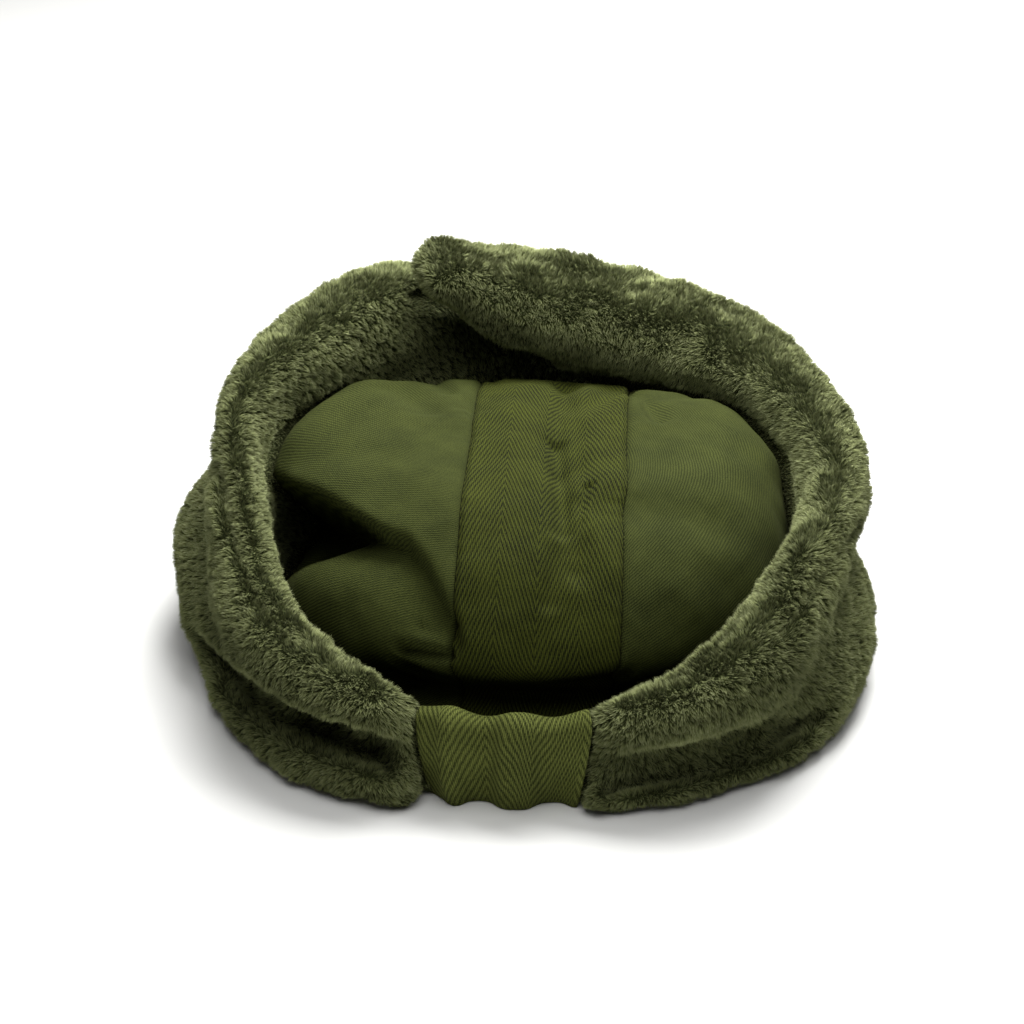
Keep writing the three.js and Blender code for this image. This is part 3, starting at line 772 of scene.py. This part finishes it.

# Acrylic pile: soft and matt, darker towards the roots and paler towards the tips, which is painted
# shade down among the fibres. Light from above soaks through the tips, so a fibre is lit like the ground it
# stands on, turned a little upwards, more than like a blade of its own.
acrylic_pile, pile_tree = new_material("acrylic_pile")
pile_place = add_node(pile_tree, "ShaderNodeTexCoord").outputs["Object"]
tip = add_node(pile_tree, "ShaderNodeAttribute", attribute_name="tip").outputs["Fac"]
shade = add_node(pile_tree, "ShaderNodeAttribute", attribute_name="shade").outputs["Fac"]
lie = add_node(pile_tree, "ShaderNodeAttribute", attribute_name="lie").outputs["Vector"]
patch = add_node(pile_tree, "ShaderNodeTexNoise", pile_place, in_Scale=45.0, in_Detail=3.0)
reach = add_node(pile_tree, "ShaderNodeMath", tip, 1.2, operation="POWER")
reach = add_node(pile_tree, "ShaderNodeMath", shade, 0.7, reach, operation="MULTIPLY_ADD")
reach = add_node(pile_tree, "ShaderNodeMath", patch, 0.35, reach, operation="MULTIPLY_ADD")
reach = add_node(pile_tree, "ShaderNodeMath", reach, 0.5, operation="SUBTRACT")
# Painted shade: darker towards the roots of the fibres, paler towards their tips.
dye_and_painted_shade = add_node(pile_tree, "ShaderNodeValToRGB", reach)
dye_and_painted_shade.color_ramp.elements[0].color = linear(pile_root_colour)
dye_and_painted_shade.color_ramp.elements[1].color = linear(pile_tip_colour)
dye_and_painted_shade.color_ramp.elements.new(0.5).color = linear(pile_colour)
own = add_node(pile_tree, "ShaderNodeNewGeometry").outputs["Normal"]
own = add_node(pile_tree, "ShaderNodeVectorMath", own, in_Scale=0.45, operation="SCALE")
facing = add_node(pile_tree, "ShaderNodeVectorMath", own, lie, operation="ADD")
facing = add_node(pile_tree, "ShaderNodeVectorMath", facing, operation="NORMALIZE")
fibre_skin = add_node(
    pile_tree, "ShaderNodeBsdfPrincipled", dye_and_painted_shade, in_Normal=facing, in_Roughness=0.8, in_IOR=1.49,
    in_Specular_IOR_Level=0.12, in_Sheen_Weight=0.08, in_Sheen_Roughness=0.5,
    in_Sheen_Tint=linear("#b9be92"),
)
add_node(pile_tree, "ShaderNodeOutputMaterial", fibre_skin)

# One fibre: a flat sliver one unit long and one wide at its foot.
fibre_blade = bpy.data.meshes.new("fibre")
fibre_blade.from_pydata([(0, -0.5, 0), (0, 0.5, 0), (-0.12, 0.05, 1)], [], [(0, 1, 2)])
fibre_blade.attributes.new("tip", "FLOAT", "POINT").data.foreach_set("value", [0, 0, 1])
fibre = bpy.data.objects.new("fibre", fibre_blade)
bpy.context.scene.collection.objects.link(fibre)

# The pile's rule: fibres on a ground, each along the ground's lean, drawn to the middle of its tuft.
pile_rule = bpy.data.node_groups.new("pile", "GeometryNodeTree")
pile_rule.interface.new_socket("Geometry", in_out="INPUT", socket_type="NodeSocketGeometry")
for name, kind, start in (
    ("Fibres per square metre", "NodeSocketFloat", fibres_per_square_metre),
    ("Fibre length", "NodeSocketFloat", pile_length / 1000),
    ("Fibre width", "NodeSocketFloat", fibre_width / 1000),
    ("Tuft size", "NodeSocketFloat", tuft_size / 1000),
    ("Tuft pull", "NodeSocketFloat", tuft_pull),
    ("Seed", "NodeSocketInt", 7),
    ("Fibre", "NodeSocketObject", None),
    ("Material", "NodeSocketMaterial", None),
):
    socket = pile_rule.interface.new_socket(name, in_out="INPUT", socket_type=kind)
    if start is not None:
        socket.default_value = start
pile_rule.interface.new_socket("Geometry", in_out="OUTPUT", socket_type="NodeSocketGeometry")
math_node, vector_math, random_value = "ShaderNodeMath", "ShaderNodeVectorMath", "FunctionNodeRandomValue"
size = add_node(pile_rule, "NodeGroupInput").outputs
on_ground = {
    name: add_node(pile_rule, "GeometryNodeInputNamedAttribute", name, data_type=kind)
    for name, kind in ground_fields.items()
}
crowd = add_node(
    pile_rule, math_node, size["Fibres per square metre"], on_ground["cover"], operation="MULTIPLY",
)
roots = add_node(
    pile_rule, "GeometryNodeDistributePointsOnFaces",
    in_Mesh=size["Geometry"], in_Density=crowd, in_Seed=size["Seed"],
)
where = add_node(pile_rule, "GeometryNodeInputPosition")
tuft_rate = add_node(pile_rule, math_node, 1.0, size["Tuft size"], operation="DIVIDE")
uneven = add_node(pile_rule, "ShaderNodeTexNoise", where, in_Scale=220.0, in_Detail=2.0).outputs["Color"]
uneven = add_node(pile_rule, vector_math, uneven, (0.5, 0.5, 0.5), operation="SUBTRACT")
uneven = add_node(pile_rule, vector_math, uneven, in_Scale=0.006, operation="SCALE")
wandering = add_node(pile_rule, vector_math, where, uneven, operation="ADD")
tuft = add_node(pile_rule, "ShaderNodeTexVoronoi", in_Vector=wandering, in_Scale=tuft_rate)
to_middle = add_node(pile_rule, vector_math, tuft.outputs["Position"], wandering, operation="SUBTRACT")
pull = add_node(pile_rule, math_node, size["Tuft pull"], on_ground["parting"], operation="MULTIPLY")
pull = add_node(pile_rule, math_node, pull, size["Fibre length"], operation="DIVIDE")
pulled = add_node(pile_rule, vector_math, to_middle, in_Scale=pull, operation="SCALE")
stray = add_node(
    pile_rule, random_value, (-0.2, -0.2, -0.2), (0.2, 0.2, 0.2), in_Seed=size["Seed"],
    data_type="FLOAT_VECTOR",
)
way = add_node(pile_rule, vector_math, roots.outputs["Normal"], on_ground["lean"], operation="ADD")
way = add_node(pile_rule, vector_math, way, pulled, operation="ADD")
way = add_node(pile_rule, vector_math, way, stray, operation="ADD")
roll_seed = add_node(pile_rule, math_node, size["Seed"], 3.0, operation="ADD")
roll = add_node(
    pile_rule, random_value, (-1, -1, -1), (1, 1, 1), in_Seed=roll_seed, data_type="FLOAT_VECTOR",
)
turned = add_node(pile_rule, vector_math, roots.outputs["Normal"], roll, operation="ADD")
stance = add_node(
    pile_rule, "FunctionNodeAxesToRotation", way, turned, primary_axis="Z", secondary_axis="X",
)
own_share = add_node(
    pile_rule, random_value, in_2=0.75, in_3=1.15, in_Seed=size["Seed"], data_type="FLOAT",
)
tall = add_node(pile_rule, math_node, tuft.outputs["Distance"], on_ground["parting"], operation="MULTIPLY")
tall = add_node(pile_rule, math_node, tall, -0.6, 1.15, operation="MULTIPLY_ADD")
tall = add_node(pile_rule, math_node, tall, own_share, operation="MULTIPLY")
tall = add_node(pile_rule, math_node, tall, on_ground["room"], operation="MULTIPLY")
tall = add_node(pile_rule, math_node, tall, size["Fibre length"], operation="MULTIPLY")
scale = add_node(pile_rule, "ShaderNodeCombineXYZ", tall, size["Fibre width"], tall)
lit_way = add_node(pile_rule, vector_math, roots.outputs["Normal"], (0, 0, 0.75), operation="ADD")
rooted = add_node(
    pile_rule, "GeometryNodeStoreNamedAttribute", in_Geometry=roots.outputs["Points"], in_Name="lie",
    in_Value=lit_way, data_type="FLOAT_VECTOR", domain="POINT",
)
shape = add_node(pile_rule, "GeometryNodeObjectInfo", in_Object=size["Fibre"])
grown = add_node(
    pile_rule, "GeometryNodeInstanceOnPoints", in_Points=rooted, in_Instance=shape.outputs["Geometry"],
    in_Rotation=stance, in_Scale=scale,
)
dye_seed = add_node(pile_rule, math_node, size["Seed"], 5.0, operation="ADD")
own_dye = add_node(pile_rule, random_value, in_2=0.1, in_3=0.75, in_Seed=dye_seed, data_type="FLOAT")
tuft_dye = add_node(pile_rule, "ShaderNodeSeparateXYZ", tuft.outputs["Color"])
dye = add_node(pile_rule, math_node, tuft_dye, 0.22, own_dye, operation="MULTIPLY_ADD")
grown = add_node(
    pile_rule, "GeometryNodeStoreNamedAttribute", in_Geometry=grown, in_Name="shade", in_Value=dye,
    data_type="FLOAT", domain="INSTANCE",
)
for name in on_ground:
    grown = add_node(pile_rule, "GeometryNodeRemoveAttribute", grown, in_Name=name)
grown = add_node(pile_rule, "GeometryNodeRealizeInstances", grown)
grown = add_node(pile_rule, "GeometryNodeSetMaterial", grown, in_Material=size["Material"])
add_node(pile_rule, "NodeGroupOutput", grown)
pile_sockets = {
    item.name: item.identifier for item in pile_rule.interface.items_tree if item.in_out == "INPUT"
}

for side, ground in flap_grounds.items():
    node = f"ear_flap_{side}"
    cover = np.zeros(len(ground.data.vertices), np.float32)
    ground.data.attributes["cover"].data.foreach_get("value", cover)
    # The pile is in four pieces round each flap, so that none is too heavy.
    for number, (part, first, last) in enumerate((
        ("back", -60.0, 62.0), ("side", 62.0, 106.0), ("far_side", 106.0, 146.0), ("front", 146.0, 300.0),
    )):
        pile = bpy.data.objects.new(f"{side}_flap_pile_{part}", ground.data.copy())
        bpy.context.scene.collection.objects.link(pile)
        here = (flap_azimuths[side] >= first) & (flap_azimuths[side] < last)
        pile.data.attributes["cover"].data.foreach_set("value", (cover * here).astype(np.float32))
        growth = pile.modifiers.new("pile", "NODES")
        growth.node_group = pile_rule
        growth[pile_sockets["Seed"]] = 40 + number + (10 if side == "left" else 0)
        growth[pile_sockets["Fibre"]] = fibre
        growth[pile_sockets["Material"]] = acrylic_pile
        made_mesh(pile)
        keep_above(pile, pile_floor_gap)
        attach(pile, "root")
        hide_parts(node)
    for key in on_ground:
        ground.data.attributes.remove(ground.data.attributes[key])
    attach(ground, "root")
    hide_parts(node)
bpy.data.objects.remove(fibre)

# Stage: a plain pale floor, and the soft light of a bright studio that comes mostly from above.
# Its lengths are in metres.
floor_half, floor_height = 6, -0.0003
floor_mesh = bpy.data.meshes.new("floor")
floor_corners = [
    (x * floor_half, y * floor_half, floor_height) for x, y in ((-1, -1), (1, -1), (1, 1), (-1, 1))
]
floor_mesh.from_pydata(floor_corners, [], [(0, 1, 2, 3)])
floor = bpy.data.objects.new("floor", floor_mesh)
bpy.context.scene.collection.objects.link(floor)
pale_floor, floor_tree = new_material("pale_floor")
floor_skin = add_node(
    floor_tree, "ShaderNodeBsdfPrincipled", linear("#ededea"), in_Roughness=0.9, in_Specular_IOR_Level=0.1,
)
add_node(floor_tree, "ShaderNodeOutputMaterial", floor_skin)
floor_mesh.materials.append(pale_floor)

# Each light: its name, its place and width in metres, and its power in watts.
for name, spot, width, power in (
    ("far overhead light", (0.08, 0.34, 0.6), 0.5, 12.6),
    ("near overhead light", (0.05, -0.25, 1.1), 1.0, 7.5),
):
    light = bpy.data.objects.new(name, bpy.data.lights.new(name, "AREA"))
    light.data.size = width
    light.data.energy = power
    light.location = spot
    light.rotation_euler = (Vector(spot) - Vector((0, 0, 0.04))).to_track_quat("Z", "Y").to_euler()
    bpy.context.scene.collection.objects.link(light)
world = bpy.data.worlds.new("studio")
world.use_nodes = True
world.node_tree.nodes["Background"].inputs[0].default_value = (1, 1, 1, 1)
world.node_tree.nodes["Background"].inputs[1].default_value = 0.06
bpy.context.scene.world = world
bpy.context.scene.view_settings.view_transform = "Standard"
